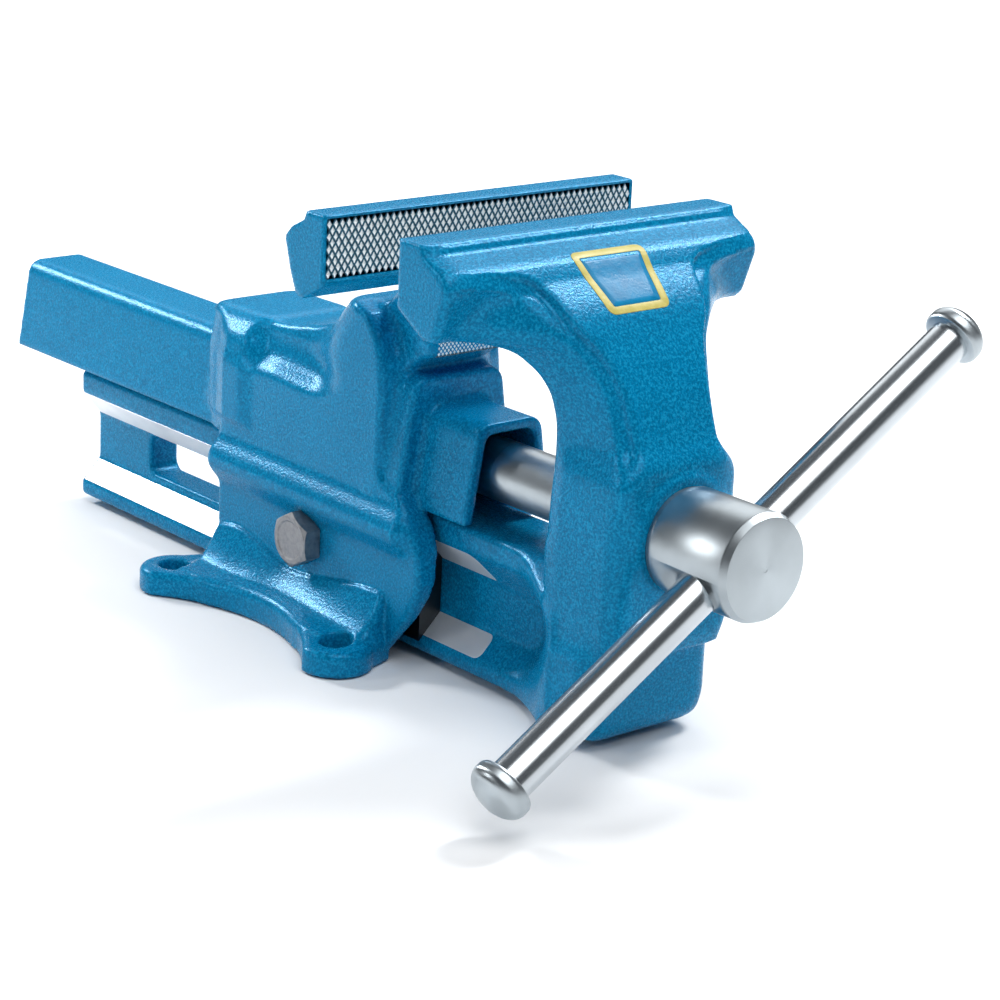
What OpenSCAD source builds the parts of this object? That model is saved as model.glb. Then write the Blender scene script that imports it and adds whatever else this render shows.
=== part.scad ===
/* [Jaws] */
// Width of both jaws
jaw_w = 120; // [100:1:150]
// Height of the jaw tops above the bench
jaw_top_z = 146.3; // [143:0.1:160]
// Height of the knurled grip faces
grip_h = 21; // [18:0.5:24]
// Distance of the fixed grip face ahead of the bolt pattern's centre
grip_y = 60; // [58:0.5:64]
// Opening between the grip faces as modelled
opening = 32.7; // [10:0.1:40]
// Thickness of the fixed jaw from grip face to back
rear_jaw_t = 19.6; // [17:0.1:24]
// Thickness of the moving jaw from grip face to nose
front_jaw_t = 22.2; // [20:0.1:26]
// Width of the flat land on top of each jaw
land_w = 10.5; // [8:0.5:14]
// Half width of the neck just under the moving jaw
arch_half_w = 42; // [34:1:48]

/* [Spindle] */
// Height of the spindle's axis above the bench
axis_z = 64.8; // [62:0.1:68]
// Diameter of the spindle shaft and its thread
spindle_d = 19; // [15:0.5:24]
// Diameter of the turned spindle head
head_d = 32.2; // [28:0.1:40]
// Length of the spindle head
head_len = 30.3; // [26:0.1:36]
// Chamfer on the head's front rim
head_chamfer = 2.3; // [1:0.1:3]
// Radial width of that chamfer
head_face_in = 1.1; // [0.5:0.1:2]
// Length of thread behind the smooth shaft
thread_len = 196; // [185:1:198]
// Thickness of the thrust washer behind the head
washer_t = 1.6; // [1:0.1:3]
// Width of the retaining collar behind the neck
collar_w = 8; // [6:0.5:9]
// Wall of the retaining collar round the shaft
collar_wall = 3.9; // [3:0.1:4.5]
// Diameter of the pin through the collar
pin_d = 4; // [3:0.5:5]
// Thickness of one disc spring
disc_t = 1.1; // [0.8:0.1:1.2]
// Wall of the bush round the shaft
bush_wall = 3.5; // [2.5:0.1:4.5]

/* [Handle] */
// Diameter of the handle bar
bar_d = 12.8; // [11:0.1:16]
// Distance between the two knob centres
bar_len = 200; // [170:1:250]
// Tilt of the bar at rest
bar_tilt = 31.6; // [0:0.1:45]
// Distance that the bar has slid through the head at rest
bar_slid = 2.4; // [-20:0.1:20]
// Diameter of each knob
knob_d = 18.4; // [17:0.1:24]
// Thickness of each knob
knob_t = 8.6; // [7:0.1:12]

/* [Spindle tunnel] */
// Length of the tunnel that covers the spindle
tunnel_len = 254.5; // [245:0.5:280]
// Overhang of the tunnel ahead of the fixed grip face
tunnel_nose = 16.2; // [10:0.1:18]
// Wall of the tunnel
tunnel_wall = 3.3; // [2.5:0.1:4.5]
// Gap between the spindle and the tunnel's sides
tunnel_side_gap = 1.9; // [1.5:0.1:3]
// Gap between the spindle and the tunnel's roof
tunnel_roof_gap = 3.3; // [2:0.1:5]
// Height of the tunnel's lower edges
tunnel_foot_z = 50; // [49.5:0.1:51]
// Widening of each side per unit of height
tunnel_draft = 0.162; // [0.1:0.001:0.2]
// Outer corner radius of the tunnel
tunnel_r = 4.5; // [3.5:0.1:5]

/* [Guide rail] */
// Width of the rail's flanges
rail_w = 26.3; // [22:0.1:32]
// Thickness of the rail's web
web_t = 11.6; // [8:0.1:14]
// Distance of the rail's rear end behind the pattern's centre
rail_end_y = 141.4; // [138:0.1:143]
// Height of the rail's underside above the bench
rail_foot_z = 2; // [1:0.1:4]
// Height of the rail's top
rail_top_z = 48.5; // [47:0.1:49]
// Outer edge of the lower slide face
low_face_z = 7.5; // [6:0.1:9]
// Inner edge of the lower slide face
low_root_z = 14.9; // [13:0.1:17]
// Outer edge of the upper slide face
high_face_z = 40.7; // [39:0.1:42]
// Inner edge of the upper slide face
high_root_z = 31.8; // [30:0.1:33]
// Rear end of the window in the web
window_end_y = 108.5; // [90:0.5:120]
// Front end of the window in the web
window_start_y = -20; // [-40:1:20]

/* [Body] */
// Half width of the body's side walls
side_half_w = 24; // [23:0.1:30]
// Front of the body's side walls
side_front_y = 63.3; // [60:0.1:66]
// Rear of the body's side walls
side_rear_y = 42; // [36:0.5:46]
// Front of the raised shoulders under the jaw
shoulder_front_y = 42.5; // [40:0.5:46]
// Top of the shoulders' outer edges
shoulder_z = 80; // [78:0.5:84]
// Half width of the shoulder's flat top
crown_half_w = 16; // [15:0.5:20]
// Height of the shoulder's top at its rear end
crown_rear_z = 90; // [88:0.5:94]
// Where the shoulder ends on the tunnel
crown_rear_y = 55; // [50:0.5:60]
// Radius of the raised rib along each side
rib_r = 5; // [3:0.5:6]
// Height of that rib
rib_z = 43.5; // [42:0.5:46]

/* [Foot] */
// Distance between bolt holes across the vise
hole_span_x = 78; // [76:0.5:90]
// Distance between bolt holes along the vise
hole_span_y = 87.8; // [84:0.1:96]
// Diameter of the bolt holes
hole_d = 10.5; // [8.5:0.5:12.5]
// Metal round each bolt hole
lug_wall = 6.25; // [5:0.25:9]
// Thickness of the bolting lugs
lug_t = 8; // [6:0.5:12]
// Radius of the hollow between the lugs of one side
waist_r = 65; // [55:1:80]
// Half width of the foot at that hollow
waist_half_w = 35.3; // [34:0.1:38]

/* [Spindle nut] */
// Length of the nut
nut_len = 40; // [36:1:44]
// Distance of the nut's front end ahead of the pattern's centre
nut_front_y = 24; // [22:0.5:26]
// Width of the nut
nut_w = 28.8; // [26:0.1:32]
// Underside of the nut
nut_foot_z = 51; // [50:0.5:52]
// Metal over the thread
nut_roof = 7.7; // [7:0.1:9]
// Diameter of the cross pins that hold the nut
nut_pin_d = 5; // [4:0.5:5]
// Distance between those pins
nut_pin_pitch = 24; // [16:1:28]

/* [Gib] */
// Front end of the adjusting gib
gib_front_y = 54; // [48:1:56]
// Rear end of the adjusting gib
gib_rear_y = 40; // [30:1:41]
// Size of the gib's bolt
gib_bolt_d = 10; // [8:0.5:12]
// Width of its hexagon head across flats
gib_head_af = 16; // [13:0.5:19]
// Thickness of that head
gib_head_t = 6.4; // [5:0.1:8]
// Height of that bolt
gib_bolt_z = 29; // [24:0.1:31]
// Distance of that bolt ahead of the pattern's centre
gib_bolt_y = 6.9; // [0:0.1:10]
// Depth of the gib's socket for the tip of the bolt
gib_socket = 3.5; // [2:0.1:4]

/* [Label] */
// Width of the label along its upper edge
label_w = 28.4; // [26:0.2:32]
// Width of the label along its lower edge
label_foot_w = 23; // [18:0.5:26]
// Height of the label
label_h = 22.5; // [18:0.5:27]
// Distance of the label above the middle of its face
label_rise = 3.6; // [0:0.1:4.5]
// Radius of the label's corners
label_r = 3; // [1:0.5:5]
// Thickness of the label
label_t = 0.5; // [0.3:0.1:1]

/* [Fits] */
// Running clearance round the spindle and the handle bar
run_fit = 0.06; // [0.02:0.01:0.1]
// Clearance of the sliding faces of the rail
slide_fit = 0.15; // [0.05:0.01:0.3]
// Clearance of parts that are dropped in
drop_fit = 0.1; // [0.05:0.01:0.2]

/* [Hidden] */
$fn = 64;
big = 400;

enamel = "#0a86bd";
bright = "#c9cfd4";
steel = "#a9b0b5";
zinc = "#8d9096";
bronze = "#b08d4a";
yellow = "#e3c95b";

// grip faces
rear_grip_y = -grip_y;
front_grip_y = rear_grip_y - opening;
grip_foot_z = jaw_top_z - grip_h;

// tunnel
tunnel_front_y = rear_grip_y - tunnel_nose;
tunnel_rear_y = tunnel_front_y + tunnel_len;
tunnel_top_z = axis_z + spindle_d / 2 + tunnel_roof_gap + tunnel_wall;
tunnel_axis_hw = spindle_d / 2 + tunnel_side_gap + tunnel_wall;
function tunnel_hw(z) = tunnel_axis_hw + (axis_z - z) * tunnel_draft;

// moving forging, measured from its own grip face
neck_rear_y = front_grip_y - 25.5;
boss_face_y = front_grip_y - 60.3;
block_front_y = front_grip_y - 50.3;
neck_half_w = 22;
boss_r = 21.5;
block_half_w = 25;
recess_end_y = front_grip_y - 27.5;
flare_start_y = front_grip_y - 8.5;

// spindle stations
head_rear_y = boss_face_y - washer_t - drop_fit;
head_front_y = head_rear_y - head_len;
bush_rear_y = neck_rear_y - 4;
disc_rear_y = bush_rear_y + 2 * disc_t + drop_fit;
collar_rear_y = disc_rear_y + collar_w;
thread_start_y = front_grip_y + 30.7;
thread_end_y = thread_start_y + thread_len;
bush_r = spindle_d / 2 + bush_wall;
collar_r = spindle_d / 2 + collar_wall;
cross_hole_y = head_rear_y - 17.4;

// nut
nut_top_z = axis_z + spindle_d / 2 + nut_roof;
nut_mid_y = nut_len / 2 - nut_front_y;
nut_pin_z = axis_z + spindle_d / 2 + 1.4 + nut_pin_d / 2;
nut_pin_end = nut_w / 2 + 3.5;

// guide way: the channel is wider than the rail on both sides
channel_half_w = rail_w / 2 + 1.45;
channel_top_z = rail_top_z + 0.7;
low_slope = (low_root_z - low_face_z) / (rail_w / 2 - web_t / 2);
high_slope = (high_face_z - high_root_z) / (rail_w / 2 - web_t / 2);
prism_tip_x = web_t / 2 + 0.5;
function low_z(x) = low_root_z - (x - web_t / 2) * low_slope;
function high_z(x) = high_root_z + (x - web_t / 2) * high_slope;

// front face of the moving jaw's neck, which carries the label
face_top = [front_grip_y - 18.6, jaw_top_z - 4.7];
face_foot = [front_grip_y - 42, jaw_top_z - 27];
face_tilt = atan2(face_top[1] - face_foot[1], face_top[0] - face_foot[0]);

// A profile drawn in the (Y, Z) plane and extruded across the vise
module across(from_x, to_x) {
    translate([from_x, 0, 0])
        rotate([90, 0, 90])
            linear_extrude(to_x - from_x)
                children();
}

// A profile drawn in the (X, Z) plane and extruded along the vise
module along(from_y, to_y) {
    translate([0, to_y, 0])
        rotate([90, 0, 0])
            linear_extrude(to_y - from_y)
                children();
}

// A round bar along the vise's axis
module round_y(r, from_y, to_y, z = axis_z, x = 0) {
    translate([x, to_y, z])
        rotate([90, 0, 0])
            cylinder(r = r, h = to_y - from_y);
}

// A thin level slab, wider at its back than at its front
module slab(z, back_y, back_hw, front_y, front_hw, t = 0.2) {
    translate([0, 0, z - t])
        linear_extrude(t)
            polygon([[-back_hw, back_y], [back_hw, back_y],
                     [front_hw, front_y], [-front_hw, front_y]]);
}

// Section of one jaw: s is 1 for the moving jaw and -1 for the fixed one
module jaw_section(grip, t, s) {
    z = jaw_top_z;
    polygon([
        [grip, z],
        [grip - s * land_w, z],
        [grip - s * (land_w + 1.2), z - 3],
        [grip - s * (t - 1.2), z - 8.5],
        [grip - s * t, z - 10.5],
        [grip - s * t, z - 12.5],
        [grip - s * (t - 3.7), z - 25],
        [grip - s * (t - 6), z - 27],
        [grip - s * (t - 9.5), z - 26.8],
        [grip - s * 1.6, grip_foot_z],
        [grip, grip_foot_z + 1.6]
    ]);
}

// Outer outline of the tunnel with round upper corners
module tunnel_outline() {
    r = tunnel_r;
    top_hw = tunnel_hw(tunnel_top_z);
    polygon([
        [-tunnel_hw(tunnel_foot_z), tunnel_foot_z],
        [tunnel_hw(tunnel_foot_z), tunnel_foot_z],
        [tunnel_hw(tunnel_top_z - r), tunnel_top_z - r],
        [top_hw - r * 0.86, tunnel_top_z],
        [-top_hw + r * 0.86, tunnel_top_z],
        [-tunnel_hw(tunnel_top_z - r), tunnel_top_z - r]
    ]);
    for (s = [-1, 1])
        translate([s * (tunnel_hw(tunnel_top_z - r) - r), tunnel_top_z - r])
            circle(r = r);
}

// Space inside the tunnel, open at the bottom
module tunnel_bore() {
    w = tunnel_wall;
    r = tunnel_r - 1.5;
    top = tunnel_top_z - w;
    polygon([
        [-tunnel_hw(tunnel_foot_z) + w, tunnel_foot_z - 1],
        [tunnel_hw(tunnel_foot_z) - w, tunnel_foot_z - 1],
        [tunnel_hw(top - r) - w, top - r],
        [tunnel_hw(top) - w - r * 0.86, top],
        [-tunnel_hw(top) + w + r * 0.86, top],
        [-tunnel_hw(top - r) + w, top - r]
    ]);
    for (s = [-1, 1])
        translate([s * (tunnel_hw(top - r) - w - r), top - r])
            circle(r = r);
}

// Room for the rail: plain on the gib's side, a fixed prism on the other
module channel_outline() {
    w = channel_half_w;
    f = slide_fit;
    polygon([
        [-w, -1],
        [-w, channel_top_z],
        [-tunnel_hw(tunnel_foot_z) + tunnel_wall, channel_top_z],
        [-tunnel_hw(tunnel_foot_z) + tunnel_wall, tunnel_foot_z + 0.5],
        [tunnel_hw(tunnel_foot_z) - tunnel_wall, tunnel_foot_z + 0.5],
        [tunnel_hw(tunnel_foot_z) - tunnel_wall, channel_top_z],
        [w, channel_top_z],
        [w, high_z(w) - f],
        [prism_tip_x, high_z(prism_tip_x) - f],
        [prism_tip_x, low_z(prism_tip_x) + f],
        [w, low_z(w) + f],
        [w, -1]
    ]);
}

// Plan of the foot: four lugs and a hollow side between each pair
module foot_plan() {
    hx = hole_span_x / 2;
    hy = hole_span_y / 2;
    lug_r = hole_d / 2 + lug_wall;
    difference() {
        union() {
            for (sx = [-1, 1], sy = [-1, 1])
                translate([sx * hx, sy * hy])
                    circle(r = lug_r);
            polygon([[-hx - lug_r + 0.8, hy - 4], [hx + lug_r - 0.8, hy - 4],
                     [hx + lug_r - 0.8, -hy + 4], [-hx - lug_r + 0.8, -hy + 4]]);
            polygon([[-hx, hy + lug_r], [-side_half_w + 2, side_rear_y + 5],
                     [side_half_w - 2, side_rear_y + 5], [hx, hy + lug_r],
                     [hx, -hy - lug_r], [side_half_w - 5, -hy - 5],
                     [-side_half_w + 5, -hy - 5], [-hx, -hy - lug_r]]);
        }
        for (s = [-1, 1])
            translate([s * (waist_half_w + waist_r), 0])
                circle(r = waist_r, $fn = 96);
    }
}

// Side outline of the lower body, which wraps the guide rail
module lower_side() {
    polygon([
        [side_rear_y, 0],
        [side_rear_y, shoulder_z],
        [-shoulder_front_y, shoulder_z],
        [-shoulder_front_y, 57],
        [-side_front_y + 11, 54.5],
        [-side_front_y, 38],
        [-side_front_y - 1, 29],
        [-side_front_y + 4.6, 16],
        [-side_front_y + 13, 5],
        [-side_front_y + 16, 0]
    ]);
}

// Side outline of the neck between the fixed jaw and the shoulders
module neck_side() {
    polygon([
        [rear_grip_y + 14, grip_foot_z - 12.5],
        [rear_grip_y + 4, grip_foot_z],
        [rear_grip_y + 4, grip_foot_z + 6],
        [rear_grip_y + rear_jaw_t - 2, grip_foot_z + 6],
        [rear_grip_y + rear_jaw_t - 3, grip_foot_z - 2.5],
        [-27, 109],
        [-11, 99],
        [8, crown_rear_z + 3],
        [side_rear_y, crown_rear_z + 1],
        [side_rear_y, shoulder_z - 4],
        [-shoulder_front_y + 1, shoulder_z - 4],
        [-shoulder_front_y + 1, 96],
        [rear_grip_y + 9.5, 100]
    ]);
}

// Side outline of the upright shoulder rib on each flank
module shoulder_side() {
    polygon([
        [-shoulder_front_y, 57],
        [-shoulder_front_y - 0.7, 86],
        [-shoulder_front_y, 100],
        [-shoulder_front_y + 4, 107],
        [-shoulder_front_y + 11, 110.5],
        [-27, 110],
        [-24, 97],
        [-18, shoulder_z - 2],
        [-18, 57]
    ]);
}

// One flank's slope from the side wall down to the foot
module flare_section() {
    s = side_half_w;
    polygon([[s - 4, 23], [s, 22], [s + 2.2, 16], [s + 6, 11.5], [s + 10, 9],
             [s + 15, lug_t - 0.5], [s + 15, 0], [s - 4, 0]]);
}

module fixed_body() {
    color(enamel)
    difference() {
        union() {
            across(-jaw_w / 2, jaw_w / 2)
                jaw_section(rear_grip_y, rear_jaw_t, -1);
            across(-crown_half_w - 1, crown_half_w + 1)
                neck_side();
            for (s = [0, 1])
                mirror([s, 0, 0])
                    across(crown_half_w, side_half_w)
                        shoulder_side();
            across(-side_half_w, side_half_w)
                lower_side();
            // sloping flanks up to the crown
            along(-shoulder_front_y + 2, side_rear_y)
                polygon([[-side_half_w, shoulder_z - 1], [-side_half_w, shoulder_z],
                         [-crown_half_w, crown_rear_z + 1], [crown_half_w, crown_rear_z + 1],
                         [side_half_w, shoulder_z], [side_half_w, shoulder_z - 1]]);
            // the shoulders run out on to the tunnel
            hull() {
                along(side_rear_y - 0.5, side_rear_y)
                    polygon([[-side_half_w, 52], [-side_half_w, shoulder_z],
                             [-crown_half_w, crown_rear_z + 1], [crown_half_w, crown_rear_z + 1],
                             [side_half_w, shoulder_z], [side_half_w, 52]]);
                along(crown_rear_y - 0.5, crown_rear_y)
                    polygon([[-tunnel_hw(52), 52], [-tunnel_axis_hw, crown_rear_z - 4],
                             [-tunnel_axis_hw + 3, crown_rear_z], [tunnel_axis_hw - 3, crown_rear_z],
                             [tunnel_axis_hw, crown_rear_z - 4], [tunnel_hw(52), 52]]);
            }
            // collar round the tunnel's root
            along(rear_grip_y - 1, -shoulder_front_y + 2)
                polygon([[-tunnel_hw(52) - 5, 52], [-tunnel_hw(80) - 6, 84],
                         [-tunnel_hw(80), tunnel_top_z + 9], [tunnel_hw(80), tunnel_top_z + 9],
                         [tunnel_hw(80) + 6, 84], [tunnel_hw(52) + 5, 52]]);
            along(tunnel_front_y, tunnel_rear_y)
                tunnel_outline();
            for (s = [-1, 1])
                round_y(rib_r, -side_front_y + 6, side_rear_y, rib_z, s * (side_half_w - 0.5));
            intersection() {
                union() {
                    along(-side_front_y + 16, side_rear_y - 1)
                        flare_section();
                    mirror([1, 0, 0])
                        along(-side_front_y + 16, side_rear_y - 1)
                            flare_section();
                }
                linear_extrude(60)
                    foot_plan();
            }
            linear_extrude(lug_t)
                foot_plan();
        }
        along(-big / 2, big / 2)
            channel_outline();
        along(-big / 2, big / 2)
            tunnel_bore();
        // pocket for the nut
        translate([-nut_w / 2 - drop_fit, -nut_front_y - drop_fit, nut_foot_z - 3])
            cube([nut_w + 2 * drop_fit, nut_len + 2 * drop_fit, nut_top_z - nut_foot_z + 3 + drop_fit]);
        nut_pin_holes(side_half_w + 1);
        for (sx = [-1, 1], sy = [-1, 1])
            translate([sx * hole_span_x / 2, sy * hole_span_y / 2, -1])
                cylinder(d = hole_d, h = lug_t + 30);
        translate([-side_half_w - 1, -gib_bolt_y, gib_bolt_z])
            rotate([0, 90, 0])
                cylinder(d = gib_bolt_d, h = side_half_w - channel_half_w + 2);
        // spot face, so the flare clears the bolt's head
        translate([-side_half_w - gib_head_t - 1, -gib_bolt_y, gib_bolt_z])
            rotate([0, 90, 0])
                cylinder(d = gib_head_af / cos(30) + 0.6, h = gib_head_t + 1);
    }
}

// The two cross pins, or their holes, from inside the left wall to end_x
module nut_pin_holes(end_x) {
    for (s = [-1, 1])
        translate([-nut_pin_end, nut_mid_y + s * nut_pin_pitch / 2, nut_pin_z])
            rotate([0, 90, 0])
                cylinder(d = nut_pin_d, h = end_x + nut_pin_end);
}

module spindle_nut() {
    color(bronze)
    difference() {
        translate([-nut_w / 2, -nut_front_y, nut_foot_z])
            cube([nut_w, nut_len, nut_top_z - nut_foot_z]);
        round_y(spindle_d / 2 + run_fit, -big / 2, big / 2);
        nut_pin_holes(side_half_w);
    }
}

module nut_pins() {
    color(steel)
    nut_pin_holes(side_half_w - 0.8);
}

module guide_gib() {
    x = channel_half_w - drop_fit;
    f = slide_fit;
    color(steel)
    difference() {
        along(-gib_front_y, gib_rear_y)
            polygon([[-x, low_z(x) + f],
                     [-prism_tip_x, low_z(prism_tip_x) + f],
                     [-prism_tip_x, high_z(prism_tip_x) - f],
                     [-x, high_z(x) - f]]);
        translate([-x - 1, -gib_bolt_y, gib_bolt_z])
            rotate([0, 90, 0])
                cylinder(d = gib_bolt_d + 2 * drop_fit, h = gib_socket + 1);
    }
}

module gib_bolt() {
    color(zinc)
    translate([-side_half_w, -gib_bolt_y, gib_bolt_z])
        rotate([0, 90, 0]) {
            translate([0, 0, -gib_head_t])
                rotate([0, 0, 30])
                    cylinder(d = gib_head_af / cos(30), h = gib_head_t, $fn = 6);
            translate([0, 0, -1])
                cylinder(d = gib_bolt_d, h = side_half_w - channel_half_w + gib_socket);
        }
}

// Section of the guide rail
module rail_section() {
    w = rail_w / 2;
    b = rail_foot_z;
    t = rail_top_z;
    polygon([
        [-w + 2.5, b], [w - 2.5, b], [w, b + 2.3], [w, low_face_z],
        [web_t / 2, low_root_z], [web_t / 2, high_root_z],
        [w, high_face_z], [w, t - 2.3], [w - 2.5, t],
        [-w + 2.5, t], [-w, t - 2.3], [-w, high_face_z],
        [-web_t / 2, high_root_z], [-web_t / 2, low_root_z],
        [-w, low_face_z], [-w, b + 2.3]
    ]);
}

module moving_jaw() {
    g = front_grip_y;
    z = jaw_top_z;
    color(enamel)
    difference() {
        union() {
            across(-jaw_w / 2, jaw_w / 2)
                jaw_section(g, front_jaw_t, 1);
            // the neck tapers from the jaw's arch to a slim waist
            hull() {
                slab(face_top[1], g - 3, arch_half_w + 14, face_top[0], arch_half_w - 2);
                slab(face_foot[1], g - 14, arch_half_w, face_foot[0], 21);
            }
            hull() {
                slab(face_foot[1], g - 14, arch_half_w, face_foot[0], 21);
                slab(z - 37, g - 22, 29, g - 48, 18);
            }
            hull() {
                slab(z - 37, g - 22, 29, g - 48, 18);
                slab(z - 50, neck_rear_y, 23, g - 54, 17);
            }
            hull() {
                slab(z - 50, neck_rear_y, 23, g - 54, 17);
                slab(axis_z + boss_r - 4, neck_rear_y, neck_half_w, boss_face_y + 4, 17);
                slab(axis_z - boss_r, neck_rear_y, neck_half_w, boss_face_y + 7, 20);
            }
            hull() {
                slab(axis_z - boss_r, neck_rear_y, neck_half_w, boss_face_y + 7, 20);
                slab(rail_foot_z + 12, neck_rear_y, neck_half_w, block_front_y, block_half_w);
                slab(rail_foot_z, neck_rear_y, rail_w / 2, block_front_y + 3, block_half_w - 10);
            }
            round_y(boss_r, boss_face_y, boss_face_y + 14);
            along(neck_rear_y - 8, rail_end_y)
                rail_section();
            // the rail's flanges spread into the block
            difference() {
                hull() {
                    along(neck_rear_y - 0.5, neck_rear_y)
                        polygon([[-rail_w / 2, rail_foot_z], [rail_w / 2, rail_foot_z],
                                 [neck_half_w, rail_foot_z + 9], [neck_half_w, rail_top_z],
                                 [-neck_half_w, rail_top_z], [-neck_half_w, rail_foot_z + 9]]);
                    along(flare_start_y - 0.5, flare_start_y)
                        polygon([[-rail_w / 2 + 2.5, rail_foot_z], [rail_w / 2 - 2.5, rail_foot_z],
                                 [rail_w / 2, rail_foot_z + 2.3], [rail_w / 2, rail_top_z - 2.3],
                                 [-rail_w / 2, rail_top_z - 2.3], [-rail_w / 2, rail_foot_z + 2.3]]);
                }
                for (s = [0, 1])
                    mirror([s, 0, 0])
                        translate([web_t / 2, 0, 0]) {
                            translate([0, recess_end_y + 15, 26])
                                rotate([0, 90, 0])
                                    cylinder(r = 15, h = 30);
                            translate([0, recess_end_y + 15, 11])
                                cube([30, 30, 30]);
                        }
            }
        }
        // seat of the bush, and the counterbore for the collar
        round_y(bush_r, boss_face_y - 20, neck_rear_y + 1);
        round_y(collar_r + 0.8, bush_rear_y, neck_rear_y + 1);
        // window through the web
        translate([-web_t, 0, 0])
            across(0, 2 * web_t) {
                polygon([[window_start_y + 5, low_root_z + 2.6], [window_end_y - 5, low_root_z + 2.6],
                         [window_end_y, low_root_z + 7.6], [window_end_y, high_root_z],
                         [window_start_y, high_root_z], [window_start_y, low_root_z + 7.6]]);
                for (y = [window_start_y + 5, window_end_y - 5])
                    translate([y, low_root_z + 7.6])
                        circle(r = 5);
            }
    }
}

module spindle_bush() {
    color(bronze)
    difference() {
        round_y(bush_r, boss_face_y, bush_rear_y);
        round_y(spindle_d / 2 + run_fit, -big / 2, big / 2);
    }
}

module label_plate() {
    r = label_r;
    color(yellow)
    translate([0, (face_top[0] + face_foot[0]) / 2, (face_top[1] + face_foot[1]) / 2])
        rotate([face_tilt, 0, 0])
            translate([0, label_rise, 0])
                linear_extrude(label_t)
                    hull()
                        for (s = [-1, 1]) {
                            translate([s * (label_w / 2 - r), label_h / 2 - r])
                                circle(r = r, $fn = 24);
                            translate([s * (label_foot_w / 2 - r), -label_h / 2 + r])
                                circle(r = r, $fn = 24);
                        }
}

module spindle() {
    r = spindle_d / 2;
    h = head_d / 2;
    color(bright)
    difference() {
        translate([0, 0, axis_z])
            rotate([-90, 0, 0])
                rotate_extrude()
                    polygon([
                        [0, head_front_y],
                        [h - head_face_in, head_front_y],
                        [h, head_front_y + head_chamfer],
                        [h, head_rear_y],
                        [r, head_rear_y],
                        [r, thread_start_y - 4],
                        [r - 1.6, thread_start_y - 3],
                        [r - 1.6, thread_start_y],
                        [r, thread_start_y + 2],
                        [r, thread_end_y - 2],
                        [r - 2, thread_end_y],
                        [0, thread_end_y]
                    ]);
        translate([0, cross_hole_y, axis_z])
            rotate([0, 90 - bar_tilt, 0])
                cylinder(d = bar_d + 2 * run_fit, h = 2 * head_d, center = true);
        translate([0, collar_rear_y - collar_w / 2, axis_z])
            cylinder(d = pin_d, h = 2 * head_d, center = true);
    }
}

module thrust_washer() {
    color(steel)
    difference() {
        round_y(head_d / 2 - 0.6, head_rear_y, head_rear_y + washer_t);
        round_y(spindle_d / 2, -big / 2, big / 2);
    }
}

module disc_springs() {
    color(steel)
    for (i = [0, 1])
        difference() {
            round_y(collar_r - 0.2, disc_rear_y - (i + 1) * disc_t, disc_rear_y - i * disc_t);
            round_y(spindle_d / 2 + drop_fit, -big / 2, big / 2);
        }
}

module retaining_collar() {
    color(steel)
    difference() {
        round_y(collar_r, disc_rear_y, collar_rear_y);
        round_y(spindle_d / 2, -big / 2, big / 2);
        translate([0, collar_rear_y - collar_w / 2, axis_z])
            cylinder(d = pin_d, h = 2 * head_d, center = true);
    }
}

module collar_pin() {
    color(zinc)
    translate([0, collar_rear_y - collar_w / 2, axis_z])
        cylinder(d = pin_d, h = 2 * collar_r - 0.6, center = true);
}

// Places its children on the bar's axis, z along the bar
module on_bar() {
    translate([0, cross_hole_y, axis_z])
        rotate([0, 90 - bar_tilt, 0])
            translate([0, 0, bar_slid])
                children();
}

// The bar's ends are turned down and the knobs are pressed on
module handle_bar() {
    color(bright)
    on_bar() {
        cylinder(d = bar_d, h = bar_len - knob_t, center = true);
        cylinder(d = bar_d - 3, h = bar_len + knob_t - 4, center = true);
    }
}

module knob() {
    r = knob_d / 2;
    t = knob_t;
    rotate_extrude()
        difference() {
            union() {
                polygon([[0, -t / 2], [bar_d / 2 + 0.6, -t / 2], [r, -t / 2 + 2.6],
                         [r, t / 2 - 3.4], [r - 3.4, t / 2 - 0.9], [r - 3.4, t / 2], [0, t / 2]]);
                translate([r - 3.4, t / 2 - 3.4])
                    circle(r = 3.4);
            }
            translate([-2 * r, -t])
                square([2 * r, 2 * t]);
            translate([0, -t])
                square([bar_d / 2 - 1.5, 1.5 * t - 2]);
        }
}

module knob_upper() {
    color(bright)
    on_bar()
        translate([0, 0, bar_len / 2])
            knob();
}

module knob_lower() {
    color(bright)
    on_bar()
        translate([0, 0, -bar_len / 2])
            mirror([0, 0, 1])
                knob();
}

fixed_body();
spindle_nut();
nut_pins();
guide_gib();
gib_bolt();
moving_jaw();
spindle_bush();
label_plate();
spindle();
thrust_washer();
disc_springs();
retaining_collar();
collar_pin();
handle_bar();
knob_lower();
knob_upper();
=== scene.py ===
import math

import bmesh
import bpy
import numpy as np
from mathutils import Matrix, Vector


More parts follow.
